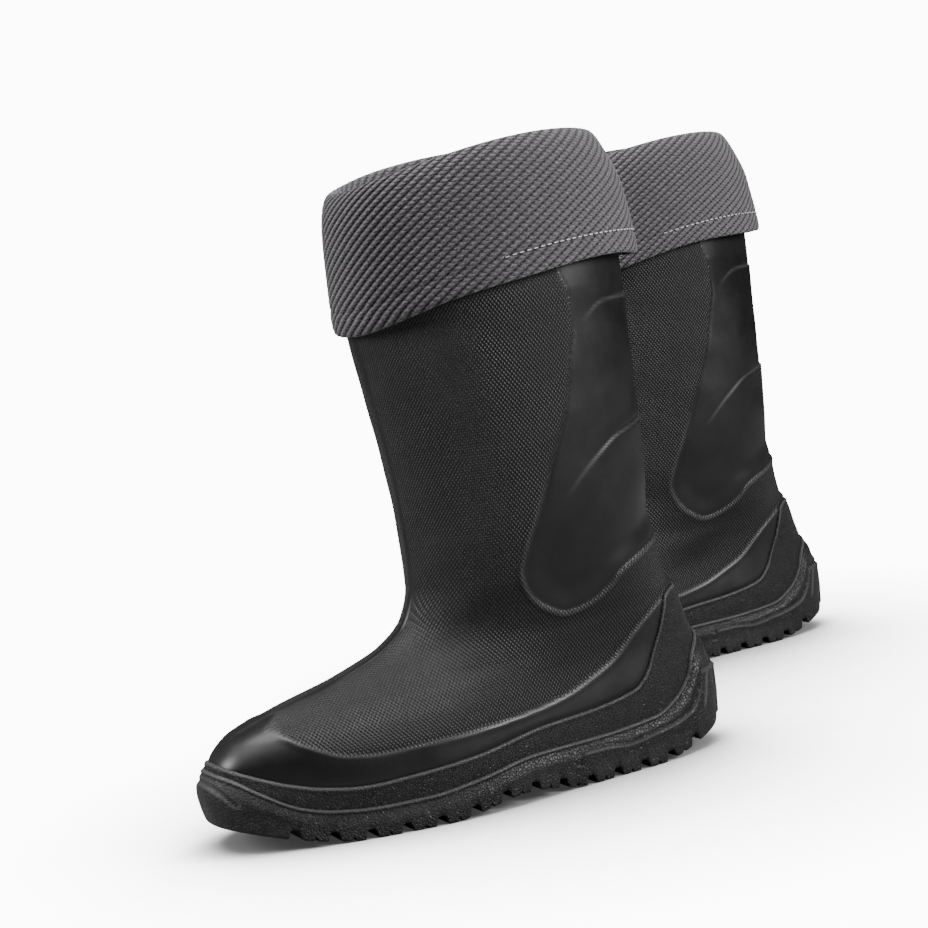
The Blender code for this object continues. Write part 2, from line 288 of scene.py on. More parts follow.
def column_lengths(rings):
    """Distance along each column from the first ring."""
    along = np.linalg.norm(np.diff(rings, axis=0), axis=2)
    total = np.concatenate([np.zeros((1, rings.shape[1])), np.cumsum(along, axis=0)], axis=0)
    return np.concatenate([total, total[:, :1]], axis=1)


def loft(name, side, rings, closed=False, even_arc=None, even_rise=None):
    """Quads through rings of points, with a UV map in metres around and along, or the map that is given.
    Rings run from the back of the heel past the outer side."""
    rows, cols = rings.shape[:2]
    index = np.arange(rows * cols).reshape(rows, cols)
    lower = np.arange(rows if closed else rows - 1)
    upper = (lower + 1) % rows
    col = np.arange(cols)
    following = (col + 1) % cols
    below, above = index[lower], index[upper]
    quads = np.stack([below, above, above[:, following], below[:, following]], axis=-1)
    around = arc_lengths(rings) if even_arc is None else np.broadcast_to(even_arc, (rows, cols + 1))
    around = around * side_of(side)
    along = column_lengths(rings) if even_rise is None else np.broadcast_to(even_rise, (rows, cols + 1))

    def corner(rows_of, cols_of):
        return np.stack([around[rows_of][:, cols_of], along[rows_of][:, cols_of]], axis=-1)

    corners = ((lower, col), (upper, col), (upper, col + 1), (lower, col + 1))
    uv = np.stack([corner(rows_of, cols_of) for rows_of, cols_of in corners], axis=2)
    faces = quads.reshape(-1, 4).tolist()
    uv = uv.reshape(-1, 2)
    if not closed:
        points = rings.reshape(-1, 3)
        extra = []
        for ring, turn in ((index[0], 1), (index[-1], -1)):
            for i in range(cols // 2):
                across = [ring[i], ring[i + 1], ring[cols - i - 1], ring[(cols - i) % cols]]
                face = [int(v) for v in dict.fromkeys(across)][::turn]
                faces.append(face)
                extra += [points[v][:2] for v in face]
        uv = np.concatenate([uv, np.array(extra) * (side_of(side), 1)])
    return build(name, side, rings.reshape(-1, 3), faces, uv)


def add_attribute(piece, name, values):
    attribute = piece.data.attributes.new(name, "FLOAT", "POINT")
    padded = np.zeros(len(piece.data.vertices), np.float32)
    padded[:values.size] = values.ravel()
    attribute.data.foreach_set("value", padded)


def dress(piece, side, node, body, surface):
    """Puts the piece in the place of a frame node, with its own material."""
    piece.name = f"{side}_{node}_shaped"
    piece.data.materials.append(surface)
    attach(piece, f"{side}_{body}")
    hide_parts(f"{side}_{node}")
    return piece


def offset_skin(height, angle, offset):
    """Points off the skin by an offset, outwards where it is positive."""
    return skin(height, angle) + skin_normal(height, angle) * np.asarray(offset)[..., None]


def around_angles(count):
    return np.arange(count) * 2 * math.pi / count


# ---------- lines on the boot ----------

def line_points(line, spacing=1.0):
    """A smooth line through its points, in millimetres, at an even spacing."""
    line = np.array(line, float)
    run = np.concatenate([[0], np.cumsum(np.linalg.norm(np.diff(line, axis=0), axis=1))])
    along = np.linspace(0, run[-1], int(run[-1] / spacing) + 1)
    return np.stack([through(list(zip(run, line[:, k])), along) for k in (0, 1)], axis=1)


def on_both_sides(line):
    """The line laid on the skin, once on each side of the boot."""
    y, z = line_points(line).T * MM
    back, front = through(CURVES[0], z), through(CURVES[1], z)
    angle = np.arccos(1 - 2 * np.clip((back - y) / (back - front), 0, 1))
    return [skin(z, angle), skin(z, 2 * math.pi - angle)]


def distance(points, line):
    """Distance from each point to a line on the boot."""
    flat = points.reshape(-1, 3)
    best = np.full(len(flat), 1.0)
    for route in on_both_sides(line):
        low, high = route.min(axis=0) - 0.03, route.max(axis=0) + 0.03
        near = np.flatnonzero(np.all((flat > low) & (flat < high), axis=1))
        for part in np.array_split(near, max(1, len(near) // 4000)):
            here = flat[part]
            gap = ((here[:, None, :] - route[None]) ** 2).sum(axis=2)
            i = np.clip(gap.argmin(axis=1), 1, len(route) - 2)
            for a, b in ((i - 1, i), (i, i + 1)):
                span = route[b] - route[a]
                share = ((here - route[a]) * span).sum(axis=1) / np.maximum((span ** 2).sum(axis=1), 1e-12)
                foot = route[a] + np.clip(share, 0, 1)[:, None] * span
                best[part] = np.minimum(best[part], np.linalg.norm(here - foot, axis=1))
    return best.reshape(points.shape[:-1])


def enclosed(points, outline):
    """Whether each point lies within an outline, seen from the side."""
    y, z = points[..., 1] / MM, points[..., 2] / MM
    inside = np.zeros(y.shape, bool)
    ends = np.roll(outline, -1, axis=0)
    for (y0, z0), (y1, z1) in zip(outline, ends):
        if z0 == z1:
            continue
        crosses = (z0 > z) != (z1 > z)
        inside ^= crosses & (y < y0 + (z - z0) * (y1 - y0) / (z1 - z0))
    return inside


def shingle(points, line, depth, fade):
    """A fold whose lower part stands proud, most at the back and not at all at its front end, with a mask of
    the painted highlight along its edge.
    """
    y, z = points[..., 1] / MM, points[..., 2] / MM
    height = through(line, y)
    slope = (through(line, y + 0.5) - through(line, y - 0.5))
    below = (height - z) / np.sqrt(1 + slope ** 2)
    strength = smooth((y - line[0][0]) / (line[-1][0] - line[0][0])) ** 0.6
    proud = np.where(below > 0, smooth(below / 0.9) * np.exp(-below / fade), 0)
    gutter = ridge(below + 1.1, 1.3) * (y > line[0][0])
    return depth * strength * (proud - 0.2 * gutter), smooth((y - line[0][0]) / 12) * ridge(below - 0.4, 0.8)


# ---------- the moulded upper ----------

UPPER_COLUMNS = 352


def upper_levels():
    """Close rings where the outside shows, and wide ones under the bands and the cuff."""
    low, high = 26 * MM, HEM + 12 * MM
    covered, under_cuff = np.linspace(UPPER_FLOOR, low, 5)[:-1], np.linspace(high, RIM_HEIGHT, 6)[1:]
    return np.concatenate([covered, np.linspace(low, high, 222), under_cuff])


def upper_relief(points, height, angle):
    """Height of the moulded lines off the skin, in millimetres, with the masks of its zones and of the painted
    highlights along its lines.
    """
    s = station(angle)
    z = height / MM
    rand_outline = np.concatenate([line_points(RAND_LINE), [(300, 101), (300, -50), (-300, -50), (-300, 68)]])
    panel_outline = np.concatenate([line_points(PANEL_LINE), [(300, 131), (300, 400), (57, 400)]])
    in_rand = enclosed(points, rand_outline)
    in_panel = enclosed(points, panel_outline)
    from_rand = distance(points, RAND_LINE) / MM
    from_panel = distance(points, PANEL_LINE) / MM
    rand = np.where(in_rand, from_rand, -from_rand)
    panel = np.where(in_panel, from_panel, -from_panel)

    relief = 1.1 * smooth(rand / 1.5 + 0.5) + 0.3 * ridge(rand - 1.8, 1.3) - 0.25 * ridge(rand + 1.2, 1.0)
    relief -= 0.45 * smooth((s - 0.78) / 0.1) * smooth(rand / 1.5 + 0.5)
    lip_end = smooth((175 - z) / 25)
    relief -= 0.9 * smooth(panel / 1.4 + 0.5)
    relief += 0.55 * lip_end * ridge(panel + 1.4, 1.2) - 0.9 * (1 - lip_end) * ridge(panel, 1.0)
    hollow = np.exp(-((z - 114) / 44) ** 2)
    relief -= 2.4 * hollow * smooth(panel / 15)
    relief += 0.9 * ridge(panel - 34, 16) * ridge(z - 215, 60) * (panel > 0)

    # Painted highlights: light lines along the creases' edges, the panel's lip, the rand's line and the back
    # spine
    painted_highlight_lines = np.zeros_like(relief)
    for line, depth, fade in ((UPPER_CREASE, 0.9, 20.0), (LOWER_CREASE, 1.2, 26.0)):
        step, highlight_mark = shingle(points, line, depth, fade)
        relief += step * smooth(panel / 4)
        painted_highlight_lines = np.maximum(painted_highlight_lines, highlight_mark * (panel > 0))

    x = np.abs(points[..., 0]) / MM
    at_back = (s < 0.5) * smooth((z - 128) / 10)
    relief += at_back * (0.9 * ridge(x, 1.9) - 0.15 * ridge(x - 4, 1.8))
    middle = np.abs(points[..., 0] + through(CURVES[5], height)) / MM
    at_front = (s > 0.5) * smooth((z - 55) / 6)
    relief += at_front * 0.55 * smooth((3.4 - middle) / 1.3)
    wave = np.sin(9 * angle + z * 0.05) * np.sin(z * 0.083 + 2 * np.cos(angle)) + np.sin(z * 0.19 + 5 * angle)
    relief += 0.10 * wave

    edge = through(MIDSOLE_EDGE, s) / MM
    free = smooth((z - edge) / 2.0)
    relief = relief * free + np.minimum(relief, 0.65) * (1 - free)
    spine, shin_line = at_back * smooth(3.5 - x), at_front * smooth((4.2 - middle) / 0.8)
    plain = np.maximum(smooth(rand + 0.5), smooth(panel + 0.3))
    plain = np.maximum(plain, np.maximum(spine, shin_line))
    # painted highlights along the panel's lip, the rand's line and the back spine
    painted_highlight_lines = np.maximum(painted_highlight_lines, 0.8 * lip_end * ridge(panel + 1.3, 0.9))
    painted_highlight_lines = np.maximum(painted_highlight_lines, 0.35 * ridge(rand - 0.6, 0.8) * free)
    painted_highlight_lines = np.maximum(painted_highlight_lines, at_back * 0.6 * ridge(x, 1.2))
    masks = {"emboss": 1 - plain, "rand": smooth(rand), "panel": smooth(panel), "crease": painted_highlight_lines}
    return relief, masks


def breadth(height, angle):
    """Distance of the skin from the boot's middle line, square to that line."""
    sway = through(CURVES[5], height) * smooth((station(angle) - 0.4) / 0.6)
    return np.abs(skin(height, angle)[..., 0] + sway)


def rise_over_foot(y, height, angle, way):
    """Length of the way up the skin, straight across the foot, from the floor to each point of one side."""
    slices, levels = np.linspace(-152, 148, 301) * MM, np.linspace(18, 196, 1781) * MM
    back, front = through(CURVES[0], levels), through(CURVES[1], levels)
    s = np.clip((back - slices[:, None]) / (back - front), 0, 1)
    turn = np.arccos(1 - 2 * s)
    half = breadth(levels, turn if way > 0 else 2 * math.pi - turn) * ((s > 0) & (s < 1))
    steps = np.hypot(np.diff(half, axis=1), np.diff(levels))
    run = np.concatenate([np.zeros((len(slices), 1)), np.cumsum(steps, axis=1)], axis=1)
    place = np.maximum.accumulate(levels - half, axis=1)
    even = np.linspace(-60, 196, 1281) * MM
    table = np.stack([np.interp(even, place[i], run[i]) for i in range(len(slices))])
    i = np.clip((y - slices[0]) / (slices[1] - slices[0]), 0, len(slices) - 1.001)
    j = np.clip((height - breadth(height, angle) - even[0]) / (even[1] - even[0]), 0, len(even) - 1.001)
    low_i, low_j = i.astype(int), j.astype(int)
    i, j = i - low_i, j - low_j
    lower = table[low_i, low_j] * (1 - j) + table[low_i, low_j + 1] * j
    upper = table[low_i + 1, low_j] * (1 - j) + table[low_i + 1, low_j + 1] * j
    return levels[0] + lower * (1 - i) + upper * i


def emboss_map(height, angle):
    """Places for the embossed beads, with little stretch: along and across the foot below the ankle,
    around and up the shaft above it."""
    plain = skin(height, angle)
    around = arc_lengths(plain)[:, :-1]
    quarter = UPPER_COLUMNS // 4
    outer = np.sin(angle) >= 0
    outer_side, inner_side = around[:, quarter, None], around[:, 3 * quarter, None]
    from_side = np.where(outer, around - outer_side, inner_side - around)
    middle = (through(CURVES[0], height) + through(CURVES[1], height)) / 2
    rise = [rise_over_foot(plain[..., 1], height, angle, way) for way in (1, -1)]
    shaft = smooth((height - 60 * MM) / (105 * MM))
    along = plain[..., 1] * (1 - shaft) + (middle - from_side) * shaft
    up = np.where(outer, rise[0], rise[1]) * (1 - shaft) + height * shaft
    return [np.concatenate([values, values[:, :1]], axis=1) for values in (along, up)]


def shape_upper():
    """The outside wall with its relief, then the plain inside wall, worked out once for both boots."""
    angle = around_angles(UPPER_COLUMNS)[None, :]
    height = wall_height(upper_levels()[:, None], angle)
    angle = np.broadcast_to(angle, height.shape)
    points = skin(height, angle)
    relief, masks = upper_relief(points, height, angle)
    outside = offset_skin(height, angle, relief * MM)
    shaft, foot = np.linspace(RIM_HEIGHT, 150 * MM, 5), np.linspace(142 * MM, UPPER_FLOOR + 4 * MM, 31)
    levels = np.concatenate([shaft, foot])[:, None]
    offset = np.full((len(levels), UPPER_COLUMNS), -UPPER_WALL)
    inside = offset_skin(wall_height(levels, angle[:1]), angle[:1], offset)
    beads = emboss_map(height, angle)
    beads = [np.concatenate([values, np.repeat(values[-1:], len(levels), axis=0)]) for values in beads]
    return np.concatenate([outside, inside]), masks, beads


def add_upper(side, rings, masks, beads, surface):
    piece = loft("upper", side, rings, even_arc=beads[0], even_rise=beads[1])
    for name, values in masks.items():
        add_attribute(piece, name, values)
    return dress(piece, side, "upper", "boot", surface)


# ---------- the two sole bands ----------

def below_edge(edge, angle, offset, drops):
    """Heights at distances below a band's top edge, measured square to that edge."""
    s = station(angle)
    top = through(edge, s)
    line = offset_skin(top, angle, np.full(angle.shape, offset))
    ahead, behind = np.roll(line, -1, axis=0), np.roll(line, 1, axis=0)
    span = ahead - behind
    level = np.linalg.norm(span[:, :2], axis=1) / np.maximum(np.linalg.norm(span, axis=1), 1e-9)
    return top[None, :] - drops[:, None] / np.maximum(level, 0.35)[None, :]


def shape_midsole():
    """Outside from its floor up to the rounded top edge, then the inside wall, with a mask of the painted
    highlight along that edge.
    """
    angle = around_angles(UPPER_COLUMNS)
    s = station(angle)
    drops = np.array([0.0, 0.25, 0.6, 1.1, 1.7, 2.3, 2.9, 3.5, 4.2, 5.2, 6.4, 7.8, 9.4]) * MM
    floor = 14.3 * MM + spring(s)
    heights = below_edge(MIDSOLE_EDGE, angle, MIDSOLE_REACH, drops)
    shares = np.linspace(1, 0, 8)[1:, None]
    heights = np.maximum(heights, floor + 1 * MM)
    low = floor + (heights[-1] - floor) * shares
    heights = np.concatenate([heights, low])
    drop = np.concatenate([drops, np.full(7, 12 * MM)])[:, None] / MM
    rounded = np.clip(drop / 1.3, 0, 1)
    profile = 1.0 + 1.1 * np.sqrt(rounded * (2 - rounded))
    profile = profile + 0.25 * ridge(drop - 1.6, 0.9) + 0.2 * smooth((drop - 3) / 5)
    offset = np.broadcast_to(profile, heights.shape) * MM
    outside = offset_skin(heights, angle, offset)
    inner_low = np.linspace(0, 1, 7)[:, None]
    top = through(MIDSOLE_EDGE, s)
    inner = (18 * MM + spring(s)) * (1 - inner_low) + (top - 0.1 * MM) * inner_low
    inside = offset_skin(inner, angle, np.full(inner.shape, MIDSOLE_INSIDE))
    # mask of the painted highlight along the rounded top edge
    edge = np.broadcast_to(ridge(drop - 0.8, 0.6), heights.shape)[::-1]
    return np.concatenate([outside[::-1], inside[::-1]]), edge


def tread_stations():
    """Places along the sole, from heel to toe, with one at each edge of a groove or a sipe."""
    length = FOOT_LENGTH + 2 * BAND_REACH
    count = int((length - GROOVE_FROM_HEEL - GROOVE_FROM_TOE) / LUG_PITCH) + 1
    centres = GROOVE_FROM_HEEL + np.arange(count) * LUG_PITCH
    mouth, root = GROOVE_MOUTH / 2, GROOVE_ROOT / 2
    bends = (mouth, 0.8 * mouth + 0.2 * root, (mouth + root) / 2, root, 0.6 * root)
    grooves = [centres + turn * away for away in bends for turn in (-1, 1)]
    sipe_edges = (-SIPE_WIDTH / 2, -SIPE_ROOT / 2, SIPE_ROOT / 2, SIPE_WIDTH / 2)
    sipes = [centres[:-1] + LUG_PITCH / 2 + away for away in sipe_edges]
    exact = np.sort(np.concatenate(grooves + sipes)) / length
    even = station(np.linspace(0, math.pi, 231))
    clear = np.min(np.abs(even[:, None] - exact[None, :]), axis=1) * length > 0.5 * MM
    clear[0] = clear[-1] = True
    return np.sort(np.concatenate([even[clear], exact])), centres, length


def groove_depth(s, centres, length):
    """Depth of the grooves between the lugs, at places along the sole."""
    away = np.min(np.abs(s[..., None] * length - centres), axis=-1)
    wall = (GROOVE_MOUTH - GROOVE_ROOT) / 2
    return LUG_DEPTH * smooth((GROOVE_MOUTH / 2 - away) / wall / 1.25)


def sipe_depth(s, centres, length):
    """Depth of the short cuts in the middle of each lug."""
    middles = centres[:-1] + LUG_PITCH / 2
    away = np.min(np.abs(s[..., None] * length - middles), axis=-1)
    return SIPE_DEPTH * np.clip((SIPE_WIDTH / 2 - away) / ((SIPE_WIDTH - SIPE_ROOT) / 2), 0, 1)


def outsole_relief(points, drop):
    """Mouldings of the outsole's wall, in millimetres, with a mask of the painted highlights along their edges.
    """
    y, z = points[..., 1] / MM, points[..., 2] / MM
    line = through(HEEL_LINE, y)
    relief = 0.45 * ridge(drop - 1.2, 0.85) - 0.35 * ridge(drop - 2.8, 0.7) - 0.9 * smooth(1 - drop / 0.7)
    block = smooth((y - 42) / 1.6) * smooth((line - z) / 1.0 + 0.5)
    relief += 1.1 * block + 0.35 * ridge(line - z - 0.8, 0.9) * (y > 42)
    relief -= 0.5 * ridge(line - z + 1.0, 0.9) * (y > 43)
    spur = np.abs((y - 140) + (z - 45) * -7 / 23)
    relief += 0.5 * ridge(spur, 1.0) * smooth((z - 22) / 3) * smooth((45 - z) / 3) * (y > 120)
    heel_block = smooth((14 - np.abs(points[..., 0]) / MM) / 1.4)
    relief += 1.2 * heel_block * smooth((z - 14) / 2) * smooth((50 - z) / 2) * (y > 100)
    share = np.clip(((y + 153) * 9 + (z - 39) * -11) / 202, 0, 1)
    slit = np.hypot(y + 153 - 9 * share, z - 39 + 11 * share)
    relief -= 1.2 * ridge(slit, 1.5) * (y < -120)
    # Painted highlights along the top edge, the heel block's line, the spur and the toe slit
    rim_highlights = np.maximum(ridge(drop - 0.8, 0.6), 0.8 * ridge(line - z - 0.6, 0.7) * smooth((y - 45) / 4))
    rim_highlights = np.maximum(rim_highlights, ridge(spur, 0.9) * smooth((z - 22) / 3) * smooth((45 - z) / 3) * (y > 120))
    rim_highlights = np.maximum(rim_highlights, 0.8 * ridge(slit - 1.6, 0.7) * (y < -120))
    return relief, rim_highlights


def shape_outsole():
    """Wall and underside: rings for the wall, and a grid across for the tread."""
    s, centres, length = tread_stations()
    one_side = np.arccos(1 - 2 * s)
    angle = np.concatenate([one_side, 2 * math.pi - one_side[-2:0:-1]])
    along = station(angle)
    drops = np.array([0, 0.25, 0.6, 1.0, 1.4, 1.9, 2.4, 2.9, 3.4, 3.9, 4.4, 5.0, 5.8]) * MM
    heights = below_edge(OUTSOLE_EDGE, angle, BAND_REACH, drops)
    notches = np.maximum(groove_depth(along, centres, length), 0.8 * sipe_depth(along, centres, length))
    base = tread_lift(along) + notches
    heights = np.maximum(heights, base + 1.5 * MM)
    shares = np.concatenate([np.linspace(0.97, 0.06, 26), [0.03, 0.012, 0.0]])[:, None]
    heights = np.concatenate([heights, base + (heights[-1] - base) * shares])
    drop = (through(OUTSOLE_EDGE, along) - heights) / MM
    soft_foot = -0.5 * smooth(1 - (heights - base) / (1.2 * MM))
    lug_bulge = 0.5 * smooth(1 - groove_depth(along, centres, length) / LUG_DEPTH)
    lug_bulge = lug_bulge * smooth((12 * MM - heights + base) / (8 * MM))
    clamped = np.maximum(heights, 12 * MM)
    swell = (3.6 + 2.9 * smooth(drop / 9)) * MM
    plain = offset_skin(clamped, angle, swell)
    relief, rim_highlights = outsole_relief(np.concatenate([plain[..., :2], heights[..., None]], axis=-1), drop)
    wall = offset_skin(clamped, angle, swell + (relief + soft_foot + lug_bulge - 0.1) * MM)
    wall[..., 2] = heights
    top = through(OUTSOLE_EDGE, along)
    inner_share = np.linspace(1, 0, 5)[:, None]
    floor = OUTSOLE_FLOOR + spring(along)
    inner = floor + (top - 0.15 * MM - floor) * inner_share
    inside = offset_skin(inner, angle, np.full(inner.shape, OUTSOLE_INSIDE))
    return np.concatenate([wall[::-1], inside]), rim_highlights[::-1], s, centres, length


def add_outsole(side, shaped, surface):
    """The wall's rings, closed by the tread's grid below and by the floor inside."""
    rings, edge, s, centres, length = shaped
    rows, cols = rings.shape[:2]
    index = np.arange(rows * cols).reshape(rows, cols)
    following = np.roll(index, -1, axis=1)
    quads = np.stack([index[:-1], index[1:], following[1:], following[:-1]], axis=-1)
    faces = quads.reshape(-1, 4).tolist()
    top = index[-1]
    half = cols // 2
    for i in range(half):
        across = [top[i], top[i + 1], top[cols - i - 1], top[(cols - i) % cols]]
        faces.append([int(v) for v in dict.fromkeys(across)][::-1])
    shares = np.array(TREAD_SHARES)
    foot = rings[0]
    outer, inner = foot[1:half], foot[cols - 1:half:-1]
    grid = outer[:, None, :] + (inner - outer)[:, None, :] * shares[None, :, None]
    at = s[1:-1, None]
    depth = np.broadcast_to(groove_depth(at, centres, length), grid.shape[:2])
    near_side = smooth((0.1 - np.minimum(shares, 1 - shares)) / 0.008)[None, :]
    depth = np.maximum(depth, sipe_depth(at, centres, length) * near_side)
    channel = CHANNEL_DEPTH * smooth((0.047 - np.abs(shares - 0.5)) / 0.02)[None, :]
    ends = smooth((at - 0.12) / 0.03) * smooth((0.9 - at) / 0.03)
    depth = np.maximum(depth, channel * ends)
    grid[..., 2] = tread_lift(at) + depth
    inside = rows * cols + np.arange(grid.shape[0] * len(shares)).reshape(grid.shape[:2])
    lines = np.concatenate([index[0, 1:half, None], inside, index[0, cols - 1:half:-1, None]], axis=1)
    under = np.stack([lines[:-1, :-1], lines[1:, :-1], lines[1:, 1:], lines[:-1, 1:]], axis=-1)
    faces += under.reshape(-1, 4).tolist()
    for j in range(lines.shape[1] - 1):
        faces.append([int(index[0, 0]), int(lines[0, j]), int(lines[0, j + 1])])
        faces.append([int(index[0, half]), int(lines[-1, j + 1]), int(lines[-1, j])])
    points = np.concatenate([rings.reshape(-1, 3), grid.reshape(-1, 3)])
    piece = build("outsole", side, points, faces)
    # the edge attribute marks the painted highlights along the wall's mouldings
    add_attribute(piece, "edge", edge)
    bpy.ops.object.select_all(action="DESELECT")
    piece.select_set(True)
    bpy.context.view_layer.objects.active = piece
    bpy.ops.object.shade_smooth_by_angle(angle=math.radians(34))
    return dress(piece, side, "outsole", "boot", surface)


# ---------- the knitted cuff ----------

CUFF_COLUMNS = 500
CUFF_RISE = 73
BACK_LEAN = 5.0
BACK_FLARE = 3.6
CROWN_TILT = 4.0

# Distances off the skin and heights above the hem, in millimetres: up the outside and down to the liner,
# then up between the two layers and down the inner face of the outer one
CUFF_OUTER = (
    (2.4, 0.3), (3.6, -0.2), (5.0, 0.2), (5.8, 1.4), (6.1, 4), (6.0, 11), (5.8, 22), (5.4, 34), (4.8, 46),
    (3.4, 58), (1.6, 65.5), (-0.6, 70.3), (-3.0, 72.6), (-5.2, 73.0), (-7.2, 71.4), (-8.3, 67.5), (-8.6, 60),
    (-8.6, 46), (-8.5, 30), (-8.4, 29),
)
CUFF_INNER = (
    (-4.9, 29), (-4.9, 60), (-3.4, 66.5), (-1.6, 66), (0.9, 58), (1.6, 46), (2.2, 30), (2.3, 14), (2.3, 1.2),
)


def cuff_profile():
    """Offsets, levels and lengths along the cuff's outer layer, at an even spacing."""
    run = np.concatenate([[0], np.cumsum(np.linalg.norm(np.diff(CUFF_OUTER, axis=0), axis=1))])
    steps = np.linspace(0, run[-1], 190)
    offset, level = (through([(r, p[k]) for r, p in zip(run, CUFF_OUTER)], steps) for k in (0, 1))
    return offset * MM, HEM + level * MM, steps * MM


def cuff_lean(angle, rise):
    """How far the cuff stands off at its hem and leans in at its top, at the back, in millimetres."""
    at_back = smooth((np.cos(angle) - 0.2) / 0.8)
    flare = BACK_FLARE * (1 - smooth(rise / CUFF_RISE)) ** 2
    return at_back * (flare - BACK_LEAN * smooth((rise - 38) / 34))


def rib(around, along):
    """Knitted ribs that climb around the cuff, each a row of slanted stitches."""
    across = (along * math.cos(RIB_RISE) + around * math.sin(RIB_RISE)) / RIB_PITCH
    forward = (along * math.sin(RIB_RISE) - around * math.cos(RIB_RISE)) / STITCH_LENGTH
    row = np.floor(across)
    within = across - row
    stitch = forward + 0.5 * row + STITCH_SLANT * within
    bead = np.abs(np.sin(math.pi * stitch)) ** 0.5
    return np.sin(math.pi * within) ** 0.7 * (0.5 + 0.5 * bead)


def shape_cuff(side):
    """Rings up the outer layer, over the crown and back inside the fold, with the knit's map."""
    offset, level, along = (values[:, None] for values in cuff_profile())
    angle = around_angles(CUFF_COLUMNS)[None, :]
    girth = offset_skin(np.full(CUFF_COLUMNS, 300 * MM), angle[0], np.full(CUFF_COLUMNS, 5 * MM))
    around = arc_lengths(girth[None])[0]
    rise = (level - HEM) / MM
    climb = smooth(rise / CUFF_RISE)
    sway = 0.7 * np.sin(3 * angle + 1.0) * np.sin(along / (31 * MM)) + 0.5 * np.sin(7 * angle + 2.2) * climb
    seam = -1.5 * ridge(np.minimum(angle, 2 * math.pi - angle) * 80, 1.6)
    outward = smooth((offset + 7.5 * MM) / (2.5 * MM))
    hem_dent = -0.55 * ridge(along / MM - 15.5, 1.2)
    knit = 1.25 * rib(around[None, :-1] * side_of(side), along) - 0.85
    relief = (sway + seam + hem_dent) * outward + knit * (0.35 + 0.65 * outward)
    total = offset + (cuff_lean(angle, rise) + relief) * MM
    level = level - (CROWN_TILT * np.cos(angle) * climb + 0.6 * np.sin(5 * angle) * (1 - climb)) * MM
    outer = offset_skin(wall_height(level, angle), np.broadcast_to(angle, level.shape), total)
    inner = []
    for reach, up in CUFF_INNER:
        flat_level = HEM + (up - CROWN_TILT * np.cos(angle) * smooth(up / CUFF_RISE)) * MM
        off = (reach + cuff_lean(angle, up)) * MM
        inner.append(offset_skin(wall_height(flat_level, angle), angle, off)[0])
    lengths = np.concatenate([along[:, 0], along[-1, 0] + np.arange(1, len(inner) + 1) * 5 * MM])
    return np.concatenate([outer, np.array(inner)]), around[None, :], lengths[:, None]


def add_cuff(side, shaped, surface):
    rings, around, along = shaped
    piece = loft("cuff", side, rings, closed=True, even_arc=around, even_rise=along)
    dress(piece, side, "cuff", "liner", surface)
    return piece


def stitch_route():
    """The closed line of the hem's stitches, which sinks into the knit at the front and at the seam."""
    angle = around_angles(2000)
    level = np.full(len(angle), HEM + STITCH_RISE * MM)
    at_front, at_seam = smooth(-np.cos(angle) / 0.45), smooth((np.cos(angle) - 0.93) / 0.04)
    off = 6.15 + cuff_lean(angle, STITCH_RISE) - 2.4 * np.maximum(at_front, at_seam)
    return offset_skin(wall_height(level, angle), angle, off * MM)


def add_running_stitch(side, surface):
    """Short white stitches along the hem, each a small six-sided bead of thread."""
    route = stitch_route()
    run = arc_lengths(route[None])[0]
    closed = np.concatenate([route, route[:1]])
    up = np.array((0, 0, 1.0))
    sides = 6
    points, faces = [], []
    for k in range(int(run[-1] / STITCH_PITCH)):
        middle = (k + 0.5) * STITCH_PITCH
        places = (middle - STITCH_RUN / 2, middle + STITCH_RUN / 2)
        near, far = (np.array([np.interp(place, run, values) for values in closed.T]) for place in places)
        span = far - near
        out = np.cross(span / np.linalg.norm(span), up)
        base = len(points)
        for share, width in STITCH_PROFILE:
            centre = near + span * share - out * (0.5 * MM * (2 * share - 1) ** 2)
            for a in around_angles(sides):
                points.append(centre + (out * math.cos(a) + up * math.sin(a)) * THREAD_RADIUS * width)
        for low in range(base, len(points) - sides, sides):
            high = low + sides
            for a in range(sides):
                b = (a + 1) % sides
                faces.append([low + a, high + a, high + b, low + b])
        faces.append([base + a for a in range(sides)])
        faces.append([len(points) - 1 - a for a in range(sides)])
    piece = build("hem_stitch", side, points, faces)
    return dress(piece, side, "hem_stitch", "liner", surface)


# ---------- the liner and the footbed ----------

LINER_COLUMNS = 160


def shape_sleeve(low, high, rows):
    """A felt wall inside the upper, slightly uneven, with a flat seam at the back."""
    angle = around_angles(LINER_COLUMNS)[None, :]
    levels = np.linspace(low, high, rows)[:, None]
    shares = (levels - low) / (high - low)
    rounding = 0.9 * MM * (smooth(1 - shares * rows / 2) + smooth(1 - (1 - shares) * rows / 2))
    ripple = 0.35 * np.sin(4 * angle + levels * 90) * np.sin(levels * 160 + 1.5) * MM
    seam = 0.8 * ridge(np.minimum(angle, 2 * math.pi - angle) * 70, 2.2) * MM
    height = wall_height(levels, angle)
    around = np.broadcast_to(angle, height.shape)
    outer = offset_skin(height, around, SKIN_TO_LINER - rounding)
    inner = offset_skin(height, around, LINER_INSIDE + rounding + ripple - seam)
    return np.concatenate([outer, inner[::-1]])


def shape_slab(bottom, thickness):
    """A sole-shaped layer with rounded edges."""
    angle = around_angles(LINER_COLUMNS)[None, :]
    profile = ((-1.2, 0), (-0.25, 0.12), (0, 0.35), (0, 0.7), (-0.4, 0.9), (-1.4, 1.0))
    rings = []
    for inset, share in profile:
        height = wall_height(np.full(angle.shape, bottom + thickness * share), angle)
        rings.append(offset_skin(height, angle, SKIN_TO_LINER + inset * MM))
    return np.concatenate(rings)


